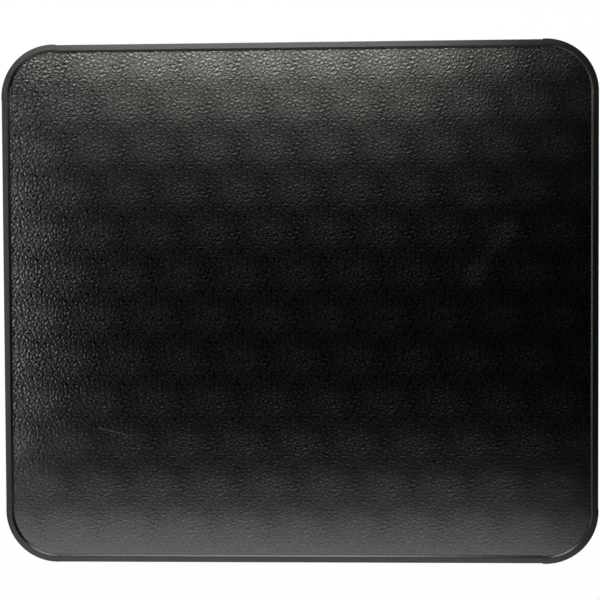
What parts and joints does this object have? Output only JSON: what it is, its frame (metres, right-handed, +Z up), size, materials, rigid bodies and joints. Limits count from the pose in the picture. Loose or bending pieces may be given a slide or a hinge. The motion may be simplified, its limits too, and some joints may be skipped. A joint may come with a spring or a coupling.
{
  "type": "stove board",
  "caption": "Flat rounded rectangular stove board: leather-grain steel face over an insulating core, framed by a raised smooth rim of straight and curved trims.",
  "frame": {"origin": "under the middle of the board, in the plane that it rests on", "axes": "+X to the right along the 32 inch side, +Y to the rear along the 28 inch side, +Z up out of the embossed face"},
  "size_m": [0.8136, 0.713, 0.0154],
  "materials": {
    "face_enamel": "glossy black stoved enamel on leather-grain embossed steel",
    "trim_enamel": "smooth satin black stoved enamel",
    "galvanised_steel": "dull spangled zinc",
    "mineral_board": "matt pressed mineral fibre millboard"
  },
  "bodies": {
    "root": {"face_sheet": "face_enamel", "core_board": "mineral_board", "back_sheet": "galvanised_steel", "front_trim": "trim_enamel", "right_trim": "trim_enamel", "rear_trim": "trim_enamel", "left_trim": "trim_enamel", "rear_left_corner": "trim_enamel", "rear_right_corner": "trim_enamel", "front_right_corner": "trim_enamel", "front_left_corner": "trim_enamel"}
  },
  "joints": []
}
